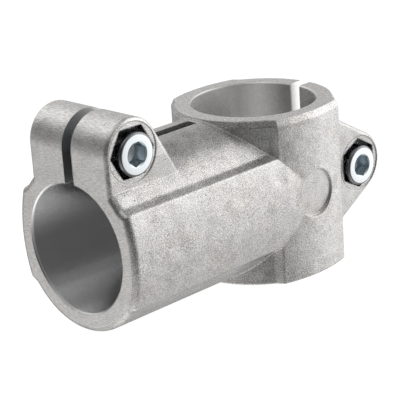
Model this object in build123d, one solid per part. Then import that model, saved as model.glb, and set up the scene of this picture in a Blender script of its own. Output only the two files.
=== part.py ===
from build123d import *
import math
import os

# Angle clamp: one aluminium casting that grips two round tubes at a right angle.
# A split socket lies along X with its mouth at -X. A split collar stands along Z.
# The origin is where the two bore axes cross. Screw heads face -Y and nuts face +Y.
# All lengths are in millimetres and all angles in degrees.

# Tubes and walls
tube_diameter = 30.0
wall = 4.7
socket_reach = 59.2
collar_height = 40.4
stop_web = 0.6
bore_chamfer = 0.4
bore_chamfer_angle = 45.0

# Side pads: the shallow convex faces on both sides of the socket and the collar
pad_width = 21.8
pad_inset = 0.3
pad_curve_radius = 34.0
pad_shoulder_angle = 29.0
pad_edge_round = 0.8
pad_foot_round = 1.5

# Slits
slit_width = 3.0
slit_end_gap = 1.1

# Ears
ear_width = 26.0
boss_radius = 7.8
front_screw_land = 4.2
rear_screw_land = 4.6
flank_angle = 30.0
ear_edge_round = 1.0
ear_root_depth = 2.0
spot_face_radius = 6.9
spot_face_depth = 0.2

# Outer edges of the casting: the collar's rims slope back further than they run inwards
mouth_round = 1.6
rim_slope_width = 0.75
rim_slope_height = 1.5

# Round recess in the middle of the near side
recess_radius = 5.8
recess_depth = 0.9

# Cap screws
screw_diameter = 6.0
screw_length = 20.0
screw_hole_clearance = 0.5
screw_rest_gap = 0.05
head_diameter = 10.0
head_height = 6.0
head_proud = 1.3
head_edge_chamfer = 0.5
key_width = 5.0
key_depth = 3.5
key_point_angle = 118.0
screw_tip_chamfer = 0.6

# Turn of each key socket in the plane of its ear
front_key_turn = 13.0
rear_key_turn = -8.0

# Way in which each screw leans in its hole, from straight down towards +X
front_screw_lean = 37.0
rear_screw_lean = -24.0

# Nuts
nut_width = 10.0
nut_height = 5.0
nut_chamfer_angle = 30.0
nut_thread_fit = 0.05
screw_tip_proud = 0.5

# Hexagonal pockets, alike on both sides of an ear so that a screw goes in from either side
pocket_clearance = 0.55
pocket_corner_round = 0.4

# Sizes that follow from the ones above
bore_radius = tube_diameter / 2
outer_radius = bore_radius + wall
pad_crest = outer_radius - pad_inset
collar_half_height = collar_height / 2
socket_stop_x = -(outer_radius + stop_web)
slit_end_x = -(outer_radius + slit_end_gap)
half_ear = ear_width / 2
screw_radius = screw_diameter / 2
hole_radius = screw_radius + screw_hole_clearance
head_radius = head_diameter / 2
screw_offset = screw_hole_clearance - screw_rest_gap
front_screw_x = boss_radius - socket_reach
front_screw_z = bore_radius + front_screw_land + hole_radius
rear_screw_x = bore_radius + rear_screw_land + hole_radius
pocket_width = max(head_diameter, nut_width) + 2 * pocket_clearance
spot_face_y = half_ear - spot_face_depth
head_top_y = -(spot_face_y + head_proud)
head_seat_y = head_top_y + head_height
screw_tip_y = head_seat_y + screw_length
nut_outer_y = screw_tip_y - screw_tip_proud
nut_seat_y = nut_outer_y - nut_height

# Overrun of cutting shapes past a face, and the gap within which two positions count as one
cut_margin = 1.0
match_tolerance = 0.01


def section_outline():
    """Outer section of socket and collar: a circle with a shallow convex pad on each side."""
    half_pad = pad_width / 2
    pad_sag = pad_curve_radius - math.sqrt(pad_curve_radius**2 - half_pad**2)
    corner = Vector(pad_crest - pad_sag, half_pad)
    slope = math.radians(pad_shoulder_angle)
    normal = Vector(math.sin(slope), math.cos(slope))
    along = Vector(math.cos(slope), -math.sin(slope))
    depth = corner.dot(normal)
    foot = normal * depth + along * math.sqrt(outer_radius**2 - depth**2)
    with BuildSketch() as section:
        with BuildLine():
            ThreePointArc((foot.X, foot.Y), (0, outer_radius), (-foot.X, foot.Y))
            Line((-foot.X, foot.Y), (-corner.X, corner.Y))
            ThreePointArc((-corner.X, corner.Y), (-pad_crest, 0), (-corner.X, -corner.Y))
            Line((-corner.X, -corner.Y), (-foot.X, -foot.Y))
            ThreePointArc((-foot.X, -foot.Y), (0, -outer_radius), (foot.X, -foot.Y))
            Line((foot.X, -foot.Y), (corner.X, -corner.Y))
            ThreePointArc((corner.X, -corner.Y), (pad_crest, 0), (corner.X, corner.Y))
            Line((corner.X, corner.Y), (foot.X, foot.Y))
        make_face()
        feet = section.vertices().filter_by(lambda v: abs(abs(v.X) - foot.X) < abs(corner.X - foot.X) / 2)
        fillet(feet, pad_foot_round)
        tips = section.vertices().filter_by(lambda v: abs(abs(v.X) - corner.X) < match_tolerance)
        fillet(tips, pad_edge_round)
    return section.sketch


def socket_blank():
    """Solid horizontal socket from its mouth to the collar's axis, with a rounded mouth edge."""
    section_plane = Plane(origin=(-socket_reach, 0, 0), x_dir=(0, 1, 0), z_dir=(1, 0, 0))
    blank = extrude(section_plane * section_outline(), socket_reach)
    mouth = blank.faces().sort_by(Axis.X)[0]
    return fillet(mouth.edges(), mouth_round)


def collar_blank():
    """Solid upright collar with its side pads on +Y and -Y and sloped rims."""
    section_plane = Plane(origin=(0, 0, -collar_half_height), x_dir=(0, 1, 0), z_dir=(0, 0, 1))
    blank = extrude(section_plane * section_outline(), collar_height)
    ends = blank.faces().sort_by(Axis.Z)
    for end in (ends[0], ends[-1]):
        blank = chamfer(end.edges(), rim_slope_width, rim_slope_height, reference=end)
    return blank


def ear_plate(plane, base, straight_side):
    """Ear in a plane whose y axis points away from the bore, through the screw at its origin.

    base is the plane's y at which the ear ends inside the casting. With straight_side the
    ear's left flank is parallel to the y axis, and otherwise both flanks spread out.
    """
    spread = math.radians(flank_angle)
    touch = Vector(boss_radius * math.cos(spread), boss_radius * math.sin(spread))
    root = Vector(touch.X + (touch.Y - base) * math.tan(spread), base)
    left_touch = Vector(-boss_radius, 0) if straight_side else Vector(-touch.X, touch.Y)
    left_root = Vector(-boss_radius, base) if straight_side else Vector(-root.X, base)
    with BuildSketch() as outline:
        with BuildLine():
            ThreePointArc(left_touch, (0, boss_radius), touch)
            Line(touch, root)
            Line(root, left_root)
            Line(left_root, left_touch)
        make_face()
    plate = extrude(plane * outline.sketch, half_ear, both=True)
    side_faces = plate.faces().filter_by(Axis.Y)
    rounded = side_faces.edges().filter_by(lambda e: plane.to_local_coords(e.center()).Y > base + cut_margin)
    return fillet(rounded, ear_edge_round)


def front_ear_plane():
    """Plane through the front screw: local y is up, away from the socket's bore."""
    return Plane(origin=(front_screw_x, 0, front_screw_z), x_dir=(1, 0, 0), z_dir=(0, -1, 0))


def rear_ear_plane():
    """Plane through the rear screw: local y is +X, away from the collar's bore."""
    return Plane(origin=(rear_screw_x, 0, 0), x_dir=(0, 0, -1), z_dir=(0, -1, 0))


def ear_planes():
    return [front_ear_plane(), rear_ear_plane()]


def hexagon(width):
    """Hexagon of the given width across flats, with flats square to the local y axis."""
    return RegularPolygon(radius=width / 2, side_count=6, major_radius=False)


def side_plane(ear, y):
    """The ear's plane moved sideways to the given y."""
    return Plane(origin=(ear.origin.X, y, ear.origin.Z), x_dir=ear.x_dir, z_dir=ear.z_dir)


def hex_pocket(ear, y_low, y_high):
    """Pocket of one side of an ear, with its corners rounded, between two values of y."""
    outline = fillet(hexagon(pocket_width).vertices(), pocket_corner_round)
    return extrude(side_plane(ear, y_high) * outline, y_high - y_low)


def disc(ear, radius, y_low, y_high):
    """Cylinder on the screw's axis between two values of y."""
    return extrude(side_plane(ear, y_high) * Circle(radius), y_high - y_low)


def ear_cuts(ear):
    """Screw hole, spot faces and both hexagonal pockets of one ear."""
    outside = half_ear + cut_margin
    hole = disc(ear, hole_radius, -outside, outside)
    near_spot = disc(ear, spot_face_radius, -outside, -spot_face_y)
    far_spot = disc(ear, spot_face_radius, spot_face_y, outside)
    head_pocket = hex_pocket(ear, -outside, head_seat_y)
    nut_pocket = hex_pocket(ear, nut_seat_y, outside)
    return hole + near_spot + far_spot + head_pocket + nut_pocket


def bore_chamfer_cut(mouth):
    """Cone that chamfers a bore's mouth. The plane lies in the mouth and faces into the bore."""
    return extrude(mouth * Circle(bore_radius + bore_chamfer), bore_radius, taper=bore_chamfer_angle)


def bore_cuts():
    """Both bores, with the chamfers at their mouths."""
    socket_axis = Plane(origin=(-socket_reach, 0, 0), z_dir=(1, 0, 0))
    socket = extrude(socket_axis * Circle(bore_radius), socket_reach + socket_stop_x)
    socket_mouth = bore_chamfer_cut(socket_axis)
    collar = Cylinder(bore_radius, collar_height)
    top = Plane(origin=(0, 0, collar_half_height), z_dir=(0, 0, -1))
    bottom = Plane(origin=(0, 0, -collar_half_height), z_dir=(0, 0, 1))
    return socket + socket_mouth + collar + bore_chamfer_cut(top) + bore_chamfer_cut(bottom)


def slit_cuts():
    """Slit through the top of the socket and slit through the rear of the collar."""
    front_top = front_screw_z + boss_radius + cut_margin
    rear_top = rear_screw_x + boss_radius + cut_margin
    mouth_x = -socket_reach - cut_margin
    socket_slit = Box(slit_end_x - mouth_x, slit_width, front_top, align=(Align.MIN, Align.CENTER, Align.MIN))
    tall = collar_height + 2 * cut_margin
    collar_slit = Box(rear_top, slit_width, tall, align=(Align.MIN, Align.CENTER, Align.CENTER))
    return Pos(mouth_x, 0, 0) * socket_slit + collar_slit


def clamp_body():
    """The casting: socket, collar and ears in one piece, then the bores and machined cuts."""
    buried = math.sqrt(outer_radius**2 - half_ear**2) - ear_root_depth
    front = ear_plate(front_ear_plane(), -front_screw_z, straight_side=True)
    rear = ear_plate(rear_ear_plane(), buried - rear_screw_x, straight_side=False)
    body = socket_blank() + collar_blank() + front + rear
    body -= bore_cuts()
    body -= slit_cuts()
    for ear in ear_planes():
        body -= ear_cuts(ear)
    recess_floor = Plane(origin=(0, -(pad_crest - recess_depth), 0), z_dir=(0, -1, 0))
    body -= extrude(recess_floor * Circle(recess_radius), recess_depth + cut_margin)
    return body


def screw_plane(ear, lean):
    """The ear's plane moved to a screw that lies low in its hole, off to the given side."""
    side = screw_offset * math.sin(math.radians(lean))
    drop = screw_offset * math.cos(math.radians(lean))
    return Plane(origin=(ear.origin.X + side, 0, ear.origin.Z - drop), x_dir=ear.x_dir, z_dir=ear.z_dir)


def cap_screw(axis_plane, key_turn):
    """Socket-head cap screw with a plain shank of the thread's outer diameter."""
    head = disc(axis_plane, head_radius, head_top_y, head_seat_y)
    head = chamfer(head.edges().sort_by(Axis.Y)[0], head_edge_chamfer)
    shank = disc(axis_plane, screw_radius, head_seat_y, screw_tip_y)
    shank = chamfer(shank.edges().sort_by(Axis.Y)[-1], screw_tip_chamfer)
    key_floor_y = head_top_y + key_depth
    key_outline = Rot(0, 0, key_turn) * hexagon(key_width)
    key = extrude(side_plane(axis_plane, key_floor_y) * key_outline, key_depth + cut_margin)
    point_height = key_width / 2 / math.tan(math.radians(key_point_angle / 2))
    point = Cone(key_width / 2, 0, point_height, align=(Align.CENTER, Align.CENTER, Align.MIN))
    point_plane = Plane(origin=side_plane(axis_plane, key_floor_y).origin, z_dir=(0, 1, 0))
    return head + shank - key - point_plane * point


def hex_nut(axis_plane):
    """Hexagon nut with both faces chamfered and a plain bore that clears the shank."""
    blank = extrude(side_plane(axis_plane, nut_outer_y) * hexagon(nut_width), nut_height)
    corner_radius = nut_width / math.sqrt(3)
    chamfer_height = (corner_radius - nut_width / 2) * math.tan(math.radians(nut_chamfer_angle))
    round_blank = disc(axis_plane, corner_radius, nut_seat_y, nut_outer_y)
    chamfered = chamfer(round_blank.edges().filter_by(GeomType.CIRCLE), chamfer_height,
                        corner_radius - nut_width / 2)
    thread = disc(axis_plane, screw_radius + nut_thread_fit, nut_seat_y, nut_outer_y)
    return blank & chamfered - thread


def write(name, shape):
    shape.label = name
    export_step(shape, os.path.join("parts", name + ".step"))


os.makedirs("parts", exist_ok=True)
write("clamp_body", clamp_body())
front_axis = screw_plane(front_ear_plane(), front_screw_lean)
rear_axis = screw_plane(rear_ear_plane(), rear_screw_lean)
write("front_screw", cap_screw(front_axis, front_key_turn))
write("front_nut", hex_nut(front_axis))
write("rear_screw", cap_screw(rear_axis, rear_key_turn))
write("rear_nut", hex_nut(rear_axis))
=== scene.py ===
import math

import bmesh
import bpy
from mathutils import Matrix, Vector


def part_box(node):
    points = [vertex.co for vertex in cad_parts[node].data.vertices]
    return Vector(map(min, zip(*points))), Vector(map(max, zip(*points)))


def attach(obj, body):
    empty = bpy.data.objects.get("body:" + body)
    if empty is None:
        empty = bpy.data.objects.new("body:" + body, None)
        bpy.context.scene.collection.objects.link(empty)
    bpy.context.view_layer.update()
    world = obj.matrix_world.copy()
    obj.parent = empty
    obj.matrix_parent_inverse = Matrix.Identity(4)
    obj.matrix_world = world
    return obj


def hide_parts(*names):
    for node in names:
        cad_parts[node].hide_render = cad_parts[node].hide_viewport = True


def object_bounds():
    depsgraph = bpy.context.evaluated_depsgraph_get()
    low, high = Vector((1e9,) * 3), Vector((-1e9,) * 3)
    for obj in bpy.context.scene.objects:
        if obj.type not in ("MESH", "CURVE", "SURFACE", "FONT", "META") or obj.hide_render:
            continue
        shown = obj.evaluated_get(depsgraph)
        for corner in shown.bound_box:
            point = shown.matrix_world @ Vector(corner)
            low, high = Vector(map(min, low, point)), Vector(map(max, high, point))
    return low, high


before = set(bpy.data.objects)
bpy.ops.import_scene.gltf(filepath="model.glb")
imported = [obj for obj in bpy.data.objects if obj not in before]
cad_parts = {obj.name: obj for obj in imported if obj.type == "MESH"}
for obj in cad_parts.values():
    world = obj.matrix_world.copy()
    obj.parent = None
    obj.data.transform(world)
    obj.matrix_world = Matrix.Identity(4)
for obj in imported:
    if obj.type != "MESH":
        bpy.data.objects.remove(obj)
cad_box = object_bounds()

# Lengths are in metres. X runs along the socket, Z along the collar, and heads face -Y.
MM = 0.001


def grey(level, warmth=0.0):
    """A grey, warmer for a warmth above 0 and bluer below it."""
    return (level * (1 + warmth), level, level * (1 - warmth), 1)


# Sizes of the casting that its finish follows. A dark line is painted round each spot face as painted
# shade at its step.
BORE_RADIUS = 15 * MM
BORE_CHAMFER = 0.42 * MM
SOCKET_BORE_END = -20 * MM
SLIT_WIDTH = 3 * MM
POCKET_RADIUS = 6.75 * MM
SPOT_FACE_Y = 12.8 * MM
SPOT_FACE_RADIUS = 6.9 * MM
SPOT_FACE_SHADE_WIDTH = 0.24 * MM
EARS = ((-51.4 * MM, 22.7 * MM), (23.1 * MM, 0.0))
CAST_EDGE_ROUND = 0.5 * MM

# How far a finish reaches past the cut wall or the flat face that it belongs to
CUT_REACH = 0.1 * MM
FACE_REACH = 0.05 * MM

# Skin of the casting: blasted grain, waves, patches, wide clouds and pores
GRAIN_SIZE = 0.25 * MM
GRAIN_HEIGHT = 0.022 * MM
WAVE_SIZE = 4 * MM
WAVE_HEIGHT = 0.22 * MM
PATCH_SIZE = 2.6 * MM
CLOUD_SIZE = 9 * MM
PORE_SPACING = 2.2 * MM
PORE_RADIUS = 0.17 * MM
PORE_CHANCE = 0.5

# Streaks of the faced end and rims: long along Y, their share beside the grain in the colour,
# and how much of the grain's height the facing takes off
STREAK_SIZE = 0.4 * MM
STREAK_SCALE_Y = 0.3
STREAK_SCALE_Z = 2
STREAK_SHARE = 0.6
FACED_OFF = 0.7

# Feed marks of the boring tool
FEED_PITCH = 0.12 * MM
FEED_HEIGHT = 0.02 * MM

# The part of each noise's range that is stretched to 0 to 1
NOISE_RANGE = (0.35, 0.65)
PATCH_RANGE = (0.38, 0.62)
MOTTLE_RANGE = (0.3, 0.7)

# Greys of the casting
CAST_DARK = grey(0.2, 0.035)
CAST_PALE = grey(1.0, 0.035)
CLOUD_GREY = grey(0.64, -0.02)
FACED_DARK = grey(0.5, 0.025)
FACED_PALE = grey(0.92, 0.02)
# Painted shade: the dark grey of the pores' pits
PORE_SHADE_GREY = grey(0.16, 0.03)
SOCKET_BORE_GREY = grey(0.8)
# Painted shade: the collar's bore wall is darker than the socket's bore, for the shade inside the
# collar standing on the floor
COLLAR_BORE_SHADE_GREY = grey(0.5, 0.02)
COLLAR_CHAMFER_GREY = grey(0.62, 0.02)
SOCKET_SLIT_GREY = grey(0.7)
COLLAR_SLIT_GREY = grey(0.97)
POCKET_GREY = grey(0.95)
# Painted shade: the grey of the dark line round each spot face
SPOT_FACE_SHADE_GREY = grey(0.2)
WHITE = grey(1)

# Where the skin lies between its dark and its pale grey: its middle, what patches and grain add
# to it, and how much stronger the grain is in the clouds
SKIN_MIDDLE = 0.4
PATCH_CONTRAST = 0.12
GRAIN_CONTRAST = 0.6
CLOUD_CONTRAST = 0.2

# How much of its own grey each of these shows
CLOUD_SHARE = 0.4
PORE_SHARE = 0.8
SPOT_FACE_SHADE_SHARE = 0.4

# Roughness of the skin, what grain and patches add to it, and roughness of the cut faces
SKIN_ROUGHNESS = 0.12
GRAIN_ROUGHNESS = 0.2
PATCH_ROUGHNESS = 0.04
BORE_ROUGHNESS = 0.18
SLIT_ROUGHNESS = 0.3

# Cap screws, M6: head, key socket and thread
HEAD_RADIUS = 5 * MM
HEAD_FACE_RADIUS = 4.45 * MM
HEAD_HEIGHT = 6 * MM
HEAD_EDGE_ROUND = 0.6 * MM
HEAD_FOOT_CHAMFER = 0.15 * MM
KEY_WIDTH = 5 * MM
KEY_DEPTH = 3.5 * MM
KEY_MOUTH_RADIUS = 2.9 * MM
KEY_MOUTH_ANGLE = 120
KEY_DRILL_RADIUS = 2.4 * MM
KEY_DRILL_ANGLE = 118
KEY_TURNS = {"front_screw": 13, "rear_screw": -8}
NECK_RADIUS = 3.0 * MM
THREAD_PITCH = 1 * MM
THREAD_CREST = 2.99 * MM
THREAD_ROOT = 2.39 * MM
THREAD_START = 0.6 * MM
SIDES = 72
SHARP_ANGLE = 28
ROUND_STEPS = 5
WELD_REACH = 0.001 * MM

# One pitch of the thread: shares of the pitch, and the radius at each corner of its outline
CREST_SHARE = 0.125
ROOT_SHARE = 0.25
FLANK_SHARE = (1 - CREST_SHARE - ROOT_SHARE) / 2
THREAD_PROFILE = (
    (0, THREAD_ROOT),
    (ROOT_SHARE, THREAD_ROOT),
    (ROOT_SHARE + FLANK_SHARE, THREAD_CREST),
    (1 - FLANK_SHARE, THREAD_CREST),
)

# Zinc plate: red and green beside blue, then the levels of screws and nuts, and the levels of
# mottles, key socket and head's side beside them. The head's side level is a painted dark reflection
# on its rounded edge and side.
PLATE_TINT = (0.93, 0.97)
KEY_TINT = (0.87, 0.95)
SCREW_LEVEL = 0.96
NUT_LEVEL = 0.86
MOTTLE_LEVEL = 0.95
KEY_LEVEL = 0.72
SIDE_SHADE_LEVEL = 0.25
KEY_FINISH_START = 0.03 * MM
MOTTLE_SIZE = 0.7 * MM
MOTTLE_HEIGHT = 0.004 * MM
PLATE_ROUGHNESS = 0.07
MOTTLE_ROUGHNESS = 0.05
KEY_ROUGHNESS = 0.3
SIDE_ROUGHNESS = 0.1

# Camera: the photo's viewpoint, as the directions of the frame's right, down and forward
CAMERA_PLACE = (-0.27724, -0.26953, 0.12847)
CAMERA_RIGHT = (0.70602931, -0.70509935, -0.06601152)
CAMERA_DOWN = (-0.27476291, -0.18682395, -0.94318723)
CAMERA_FORWARD = (0.65270817, 0.68405534, -0.32563834)
CAMERA_LENS = 149.31
CAMERA_SENSOR = 36

# Studio: an even level and soft glows, each with azimuth, elevation, sharpness and strength.
# The one below 0 darkens the gap between two light panels.
STUDIO_LEVEL = 0.055
STUDIO_GLOWS = [
    (65, 20, 3, 1.4),
    (60, 28, 12, 0.45),
    (85, -15, 6, 0.42),
    (43, -15, 14, 0.18),
    (-172, 44, 12, 0.85),
    (160, 15, 6, 0.6),
    (-140, -25, 8, 0.5),
    (-100, -45, 8, 0.4),
    (-76, -19, 16, 0.1),
    (-50, -60, 8, 0.45),
    (0, -90, 4, 0.9),
    (-85, 68, 12, 0.84),
    (103, 51, 10, -0.45),
]
FLOOR_REACH = 4
FLOOR_GREY = 0.2
FLOOR_GLOW = 0.95


class Wire:
    """One output socket. Sums, products and comparisons with it add Math nodes."""

    def __init__(self, finish, socket):
        self.finish = finish
        self.socket = socket

    def __add__(self, other):
        return self.finish.math("ADD", self, other)

    def __radd__(self, other):
        return self.finish.math("ADD", other, self)

    def __sub__(self, other):
        return self.finish.math("SUBTRACT", self, other)

    def __rsub__(self, other):
        return self.finish.math("SUBTRACT", other, self)

    def __mul__(self, other):
        return self.finish.math("MULTIPLY", self, other)

    def __rmul__(self, other):
        return self.finish.math("MULTIPLY", other, self)

    def __truediv__(self, other):
        return self.finish.math("DIVIDE", self, other)

    def __rtruediv__(self, other):
        return self.finish.math("DIVIDE", other, self)

    def __pow__(self, other):
        return self.finish.math("POWER", self, other)

    def __abs__(self):
        return self.finish.math("ABSOLUTE", self)

    def __gt__(self, other):
        return self.finish.math("GREATER_THAN", self, other)

    def __lt__(self, other):
        return self.finish.math("LESS_THAN", self, other)


class Finish:
    """The node tree of a material or of the world, written as expressions."""

    def __init__(self, owner, output):
        owner.use_nodes = True
        self.owner = owner
        self.tree = owner.node_tree
        self.tree.nodes.clear()
        self.output = self.tree.nodes.new("ShaderNodeOutput" + output)

    def node(self, kind, settings, sockets, out=0):
        """A new node with its settings, then the values or wires of its sockets."""
        node = self.tree.nodes.new("ShaderNode" + kind)
        for name, value in settings.items():
            setattr(node, name, value)
        for key, value in sockets.items():
            if isinstance(value, Wire):
                self.tree.links.new(value.socket, node.inputs[key])
            else:
                node.inputs[key].default_value = value
        return Wire(self, node.outputs[out])

    def math(self, operation, *values, clamp=False):
        """A Math node on numbers or wires."""
        settings = {"operation": operation, "use_clamp": clamp}
        return self.node("Math", settings, dict(enumerate(values)))

    def spread(self, value, low, high):
        """The value's range from low to high, stretched to 0 to 1 and cut off there."""
        return self.math("ADD", (value - low) / (high - low), 0, clamp=True)

    def place(self):
        """The point on the part, in the part's own frame, in metres."""
        return self.node("TexCoord", {}, {}, out="Object")

    def axes(self, vector):
        """The three numbers of a vector."""
        split = self.node("SeparateXYZ", {}, {"Vector": vector})
        return [Wire(self, output) for output in split.socket.node.outputs]

    def noise(self, point, size, detail=2.0, roughness=0.5, distortion=0.0):
        """Noise round 0.5 whose features are about size metres across."""
        sockets = {
            "Vector": point,
            "Scale": 1 / size,
            "Detail": detail,
            "Roughness": roughness,
            "Distortion": distortion,
        }
        return self.node("TexNoise", {}, sockets)

    def blend(self, share, first, second):
        """The colour first where share is 0 and second where it is 1."""
        return self.node("Mix", {"data_type": "RGBA"}, {0: share, 6: first, 7: second}, out=2)

    def bend(self, share, first, second):
        """The vector first where share is 0 and second where it is 1."""
        return self.node("Mix", {"data_type": "VECTOR"}, {0: share, 4: first, 5: second}, out=1)

    def bump(self, height, depth, **sockets):
        """A bumped normal. A height of 1 stands out by the depth."""
        relief = {"Strength": 1.0, "Distance": depth, "Height": height}
        return self.node("Bump", {}, relief | sockets)

    def show(self, shader):
        """Puts the shader on the output and gives back the material or the world."""
        self.tree.links.new(shader.socket, self.output.inputs["Surface"])
        return self.owner

    def show_metal(self, colour, roughness, normal):
        """Shows bare metal of the given colour, roughness and normal."""
        sockets = {"Base Color": colour, "Metallic": 1.0, "Roughness": roughness, "Normal": normal}
        return self.show(self.node("BsdfPrincipled", {}, sockets))


def tint(level, share):
    """A colour of the given level whose red and green are dimmer than its blue by the shares."""
    return (level * share[0], level * share[1], level, 1)


def toward(azimuth, elevation):
    """Unit vector. Azimuth 0 is -Y and 90 is +X, and elevation is above the horizon."""
    around = math.radians(azimuth)
    above = math.radians(elevation)
    flat = math.cos(above)
    return (math.sin(around) * flat, -math.cos(around) * flat, math.sin(above))


def distance(first, second):
    """Distance from an axis, from the two coordinates square to it."""
    return (first * first + second * second) ** 0.5


def cast_aluminium():
    """Blasted die casting with bored holes, sawn slits and dark pockets."""
    finish = Finish(bpy.data.materials.new("cast_aluminium"), "Material")
    place = finish.place()
    x, y, z = finish.axes(place)
    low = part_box("clamp_body")[0]

    # Masks: 1 on what the name says and 0 elsewhere
    from_socket_axis = distance(y, z)
    from_collar_axis = distance(x, y)
    socket_bore = (from_socket_axis < BORE_RADIUS + BORE_CHAMFER) * (x < SOCKET_BORE_END)
    collar_bore = from_collar_axis < BORE_RADIUS + BORE_CHAMFER
    bore = socket_bore + collar_bore
    collar_wall = collar_bore * (from_collar_axis < BORE_RADIUS + CUT_REACH)
    walls = socket_bore * (from_socket_axis < BORE_RADIUS + CUT_REACH) + collar_wall
    slits = (x < SOCKET_BORE_END) * (z > 0) + (x > 0)
    sawn = (abs(y) < SLIT_WIDTH / 2 + CUT_REACH) * slits * (1 - bore)
    machined = finish.math("MINIMUM", bore + sawn, 1)
    skin = 1 - machined
    end_face = (x < low.x + FACE_REACH) * skin
    rims = (abs(z) > -low.z - FACE_REACH) * skin
    outside = abs(y) > SPOT_FACE_Y - FACE_REACH
    ear_axes = [distance(x - ear_x, z - ear_z) for ear_x, ear_z in EARS]
    pockets = sum((1 - outside) * (reach < POCKET_RADIUS) for reach in ear_axes) * (1 - sawn)
    # Painted shade: a thin ring at each spot face's edge, darkened in the colour
    spot_face_shade = sum(outside * (abs(reach - SPOT_FACE_RADIUS) < SPOT_FACE_SHADE_WIDTH / 2) for reach in ear_axes)

    # Noise of the skin, and the feed marks in the bores
    grain = finish.noise(place, GRAIN_SIZE, detail=2, roughness=0.6)
    grain = finish.spread(grain, *NOISE_RANGE)
    waves = finish.noise(place, WAVE_SIZE, detail=0)
    patches = finish.noise(place, PATCH_SIZE, detail=3, distortion=0.6)
    patches = finish.spread(patches, *PATCH_RANGE)
    clouds = finish.spread(finish.noise(place, CLOUD_SIZE, detail=2), *NOISE_RANGE)
    drawn = finish.node("CombineXYZ", {}, {0: x, 1: y * STREAK_SCALE_Y, 2: z * STREAK_SCALE_Z})
    streaks = finish.spread(finish.noise(drawn, STREAK_SIZE, detail=3), *NOISE_RANGE)
    cells = finish.node("TexVoronoi", {}, {"Vector": place, "Scale": 1 / PORE_SPACING})
    lot = finish.axes(Wire(finish, cells.socket.node.outputs["Color"]))[0]
    pores = (cells < PORE_RADIUS / PORE_SPACING) * (lot > 1 - PORE_CHANCE) * skin
    along = socket_bore * x + collar_bore * z
    feed = finish.math("SINE", along * (math.tau / FEED_PITCH))

    # Colour, from the skin to what is cut into it
    contrast = GRAIN_CONTRAST + CLOUD_CONTRAST * clouds
    fine = SKIN_MIDDLE + patches * PATCH_CONTRAST + (grain - 0.5) * contrast
    faced = streaks * STREAK_SHARE + grain * (1 - STREAK_SHARE)
    colour = finish.blend(fine, CAST_DARK, CAST_PALE)
    colour = finish.blend(clouds * CLOUD_SHARE, colour, CLOUD_GREY)
    colour = finish.blend(end_face + rims, colour, finish.blend(faced, FACED_DARK, FACED_PALE))
    # Painted shade: the pores are painted dark for the shade in their pits
    colour = finish.blend(pores * PORE_SHARE, colour, PORE_SHADE_GREY)
    bored = finish.blend(collar_bore, SOCKET_BORE_GREY, COLLAR_CHAMFER_GREY)
    # Painted shade: the collar's bore wall gets a darker grey than the socket's bore
    bored = finish.blend(collar_wall, bored, COLLAR_BORE_SHADE_GREY)
    colour = finish.blend(bore, colour, bored)
    colour = finish.blend(sawn, colour, finish.blend(x > 0, SOCKET_SLIT_GREY, COLLAR_SLIT_GREY))
    colour = finish.blend(pockets, colour, POCKET_GREY)
    # Painted shade round the spot faces
    colour = finish.blend(spot_face_shade * SPOT_FACE_SHADE_SHARE, colour, SPOT_FACE_SHADE_GREY)

    roughness = SKIN_ROUGHNESS + GRAIN_ROUGHNESS * grain * grain + PATCH_ROUGHNESS * patches
    roughness = roughness * skin + bore * BORE_ROUGHNESS + sawn * SLIT_ROUGHNESS

    # Relief: rounded outer edges, the skin's height and the feed marks
    edges = finish.node("Bevel", {"samples": 6}, {"Radius": CAST_EDGE_ROUND})
    normal = finish.bend(machined, edges, finish.node("NewGeometry", {}, {}, out="Normal"))
    blasted = (grain * (1 - FACED_OFF * end_face) - pores) * GRAIN_HEIGHT
    height = (blasted + waves * WAVE_HEIGHT) * skin + feed * walls * FEED_HEIGHT
    return finish.show_metal(colour, roughness, finish.bump(height, 1.0, Normal=normal))


def zinc(name, level, head_face=None):
    """Bright zinc plate with a faint blue tint.

    With the middle of a screw head's face given, the plate is thin and dull in the key socket,
    and the head's rounded edge and side are painted darker as a painted dark reflection.
    """
    finish = Finish(bpy.data.materials.new(name), "Material")
    place = finish.place()
    mottle = finish.spread(finish.noise(place, MOTTLE_SIZE, detail=3), *MOTTLE_RANGE)
    dim = tint(level * MOTTLE_LEVEL, PLATE_TINT)
    colour = finish.blend(mottle, dim, tint(level, PLATE_TINT))
    roughness = mottle * MOTTLE_ROUGHNESS + PLATE_ROUGHNESS
    if head_face is not None:
        x, y, z = finish.axes(place)
        reach = distance(x - head_face.x, z - head_face.z)
        inside = (reach < KEY_MOUTH_RADIUS) * (y > head_face.y + KEY_FINISH_START)
        side = reach > HEAD_FACE_RADIUS
        colour = finish.blend(inside, colour, tint(level * KEY_LEVEL, KEY_TINT))
        # Painted dark reflection on the head's rounded edge and side
        colour = finish.blend(side, colour, tint(level * SIDE_SHADE_LEVEL, PLATE_TINT))
        roughness = roughness * (1 - inside) + KEY_ROUGHNESS * inside + SIDE_ROUGHNESS * side
    return finish.show_metal(colour, roughness, finish.bump(mottle, MOTTLE_HEIGHT))


def each_side(value):
    """A list as it is, or one number for every side of a ring."""
    return value if isinstance(value, list) else [value] * SIDES


def ring(mesh, radii, depths, turn):
    """Vertices round the screw's axis at the given radii and depths, one for each side."""
    vertices = []
    for side, radius, depth in zip(range(SIDES), each_side(radii), each_side(depths)):
        angle = math.tau * side / SIDES + turn
        vertices.append(mesh.verts.new((radius * math.sin(angle), depth, radius * math.cos(angle))))
    return vertices


def band(mesh, first, second):
    """Faces between two rings."""
    for side in range(SIDES):
        after = (side + 1) % SIDES
        mesh.faces.new((first[side], first[after], second[after], second[side]))


def key_wall():
    """Radii of the hexagonal key socket's wall, one for each side of a ring."""
    flat = SIDES // 6
    angles = [math.radians(60) * ((side % flat) / flat - 0.5) for side in range(SIDES)]
    return [KEY_WIDTH / 2 / math.cos(angle) for angle in angles]


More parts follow.
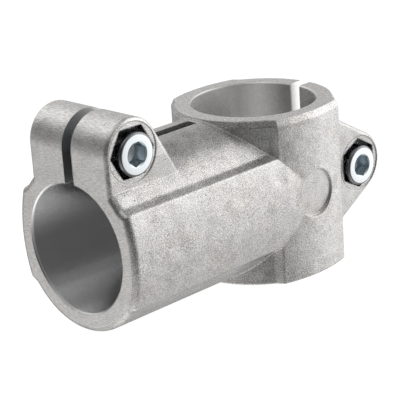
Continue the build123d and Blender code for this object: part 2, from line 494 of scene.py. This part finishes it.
def head_rings(mesh, turn):
    """Rings from the key socket's drilled bottom over the head's face and side to its neck."""
    slope = math.tan(math.radians(90 - KEY_MOUTH_ANGLE / 2))
    point = KEY_DEPTH + KEY_DRILL_RADIUS / math.tan(math.radians(KEY_DRILL_ANGLE / 2))
    wall = key_wall()
    outline = [
        (0, point),
        (KEY_DRILL_RADIUS, KEY_DEPTH),
        (wall, KEY_DEPTH),
        (wall, [(KEY_MOUTH_RADIUS - radius) * slope for radius in wall]),
        (KEY_MOUTH_RADIUS, 0),
    ]
    for step in range(ROUND_STEPS + 1):
        angle = math.radians(90) * step / ROUND_STEPS
        radius = HEAD_RADIUS - HEAD_EDGE_ROUND + HEAD_EDGE_ROUND * math.sin(angle)
        outline.append((radius, HEAD_EDGE_ROUND * (1 - math.cos(angle))))
    outline += [
        (HEAD_RADIUS, HEAD_HEIGHT - HEAD_FOOT_CHAMFER),
        (HEAD_RADIUS - HEAD_FOOT_CHAMFER, HEAD_HEIGHT),
        (NECK_RADIUS, HEAD_HEIGHT),
        (THREAD_ROOT, HEAD_HEIGHT + THREAD_START),
    ]
    return [ring(mesh, radii, depths, turn) for radii, depths in outline]


def thread_rings(mesh, start, end, turn):
    """Rings that follow a right-hand thread. Each ring climbs one pitch in a full turn."""
    rings = []
    for pitch in range(-1, math.ceil((end - start) / THREAD_PITCH) + 1):
        for share, radius in THREAD_PROFILE:
            climb = [start + THREAD_PITCH * (pitch + share + side / SIDES) for side in range(SIDES)]
            depths = [min(max(depth, start), end) for depth in climb]
            fades = [min(depth - start, end - depth, THREAD_PITCH) / THREAD_PITCH for depth in depths]
            radii = [THREAD_ROOT + (radius - THREAD_ROOT) * fade for fade in fades]
            rings.append(ring(mesh, radii, depths, turn))
    return rings


def thread_bands(mesh, rings):
    """Faces between the thread's rings. A ring's end meets the start of the ring one pitch on."""
    on = len(THREAD_PROFILE)
    for first, second, above, beyond in zip(rings, rings[1:], rings[on:], rings[on + 1:]):
        for side in range(SIDES - 1):
            mesh.faces.new((first[side], first[side + 1], second[side + 1], second[side]))
        mesh.faces.new((first[-1], above[0], beyond[0], second[-1]))


def cap_screw(node):
    """A socket-head cap screw with its thread, in the place of a CAD screw."""
    low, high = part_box(node)
    middle = (low + high) / 2
    head_face = Vector((middle.x, low.y, middle.z))
    length = high.y - low.y
    turn = math.radians(KEY_TURNS[node])
    mesh = bmesh.new()
    head = head_rings(mesh, turn)
    thread = thread_rings(mesh, HEAD_HEIGHT + THREAD_START, length, turn)
    for first, second in zip(head, head[1:]):
        band(mesh, first, second)
    thread_bands(mesh, thread)
    mesh.faces.new(ring(mesh, THREAD_ROOT, length, turn))
    bmesh.ops.remove_doubles(mesh, verts=mesh.verts, dist=WELD_REACH)
    bmesh.ops.dissolve_degenerate(mesh, edges=mesh.edges, dist=WELD_REACH)
    bmesh.ops.recalc_face_normals(mesh, faces=mesh.faces)
    bmesh.ops.translate(mesh, verts=mesh.verts, vec=head_face)
    for face in mesh.faces:
        face.smooth = True
    data = bpy.data.meshes.new(node + "_threaded")
    mesh.to_mesh(data)
    mesh.free()
    data.set_sharp_from_angle(angle=math.radians(SHARP_ANGLE))
    data.materials.append(zinc(node + "_zinc", SCREW_LEVEL, head_face))
    screw = bpy.data.objects.new(node + "_threaded", data)
    bpy.context.scene.collection.objects.link(screw)
    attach(screw, node)
    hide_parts(node)


def add_studio():
    """World light: an even level with soft glows, and a white ground for the camera alone."""
    world = bpy.data.worlds.new("studio")
    bpy.context.scene.world = world
    finish = Finish(world, "World")
    direction = finish.node("TexCoord", {}, {}, out="Generated")
    level = STUDIO_LEVEL
    for azimuth, elevation, sharpness, strength in STUDIO_GLOWS:
        sockets = {0: direction, 1: toward(azimuth, elevation)}
        dot = finish.node("VectorMath", {"operation": "DOT_PRODUCT"}, sockets, out="Value")
        level = level + strength * finish.math("EXPONENT", (dot - 1) * sharpness)
    light = finish.node("Background", {}, {"Color": WHITE, "Strength": level})
    ground = finish.node("Background", {}, {"Color": WHITE, "Strength": 1.0})
    camera_ray = finish.node("LightPath", {}, {}, out="Is Camera Ray")
    finish.show(finish.node("MixShader", {}, {0: camera_ray, 1: light, 2: ground}))


def add_floor():
    """Pale floor under the collar. The metal mirrors the studio's pale lower half instead of it."""
    finish = Finish(bpy.data.materials.new("pale_floor"), "Material")
    matt = finish.node("BsdfDiffuse", {}, {"Color": grey(FLOOR_GREY)})
    glow = finish.node("Emission", {}, {"Color": WHITE, "Strength": FLOOR_GLOW})
    mesh = bpy.data.meshes.new("floor")
    low = cad_box[0].z
    signs = ((-1, -1), (1, -1), (1, 1), (-1, 1))
    corners = [(sign_x * FLOOR_REACH, sign_y * FLOOR_REACH, low) for sign_x, sign_y in signs]
    mesh.from_pydata(corners, [], [(0, 1, 2, 3)])
    mesh.materials.append(finish.show(finish.node("AddShader", {}, {0: matt, 1: glow})))
    floor = bpy.data.objects.new("floor", mesh)
    floor.visible_glossy = False
    floor.visible_diffuse = False
    bpy.context.scene.collection.objects.link(floor)


def add_camera():
    """The photo's viewpoint."""
    camera = bpy.data.objects.new("camera", bpy.data.cameras.new("camera"))
    camera.data.lens = CAMERA_LENS
    camera.data.sensor_width = CAMERA_SENSOR
    axes = Matrix((CAMERA_RIGHT, -Vector(CAMERA_DOWN), -Vector(CAMERA_FORWARD))).transposed()
    camera.matrix_world = Matrix.Translation(CAMERA_PLACE) @ axes.to_4x4()
    bpy.context.scene.collection.objects.link(camera)
    bpy.context.scene.camera = camera


def dress(node, material):
    """Gives a CAD node its finish."""
    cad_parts[node].data.materials.clear()
    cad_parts[node].data.materials.append(material)


bpy.context.scene.view_settings.view_transform = "Standard"
add_camera()
add_studio()
add_floor()
dress("clamp_body", cast_aluminium())
for node in ("front_screw", "rear_screw"):
    cap_screw(node)
nut_zinc = zinc("nut_zinc", NUT_LEVEL)
for node in ("front_nut", "rear_nut"):
    dress(node, nut_zinc)
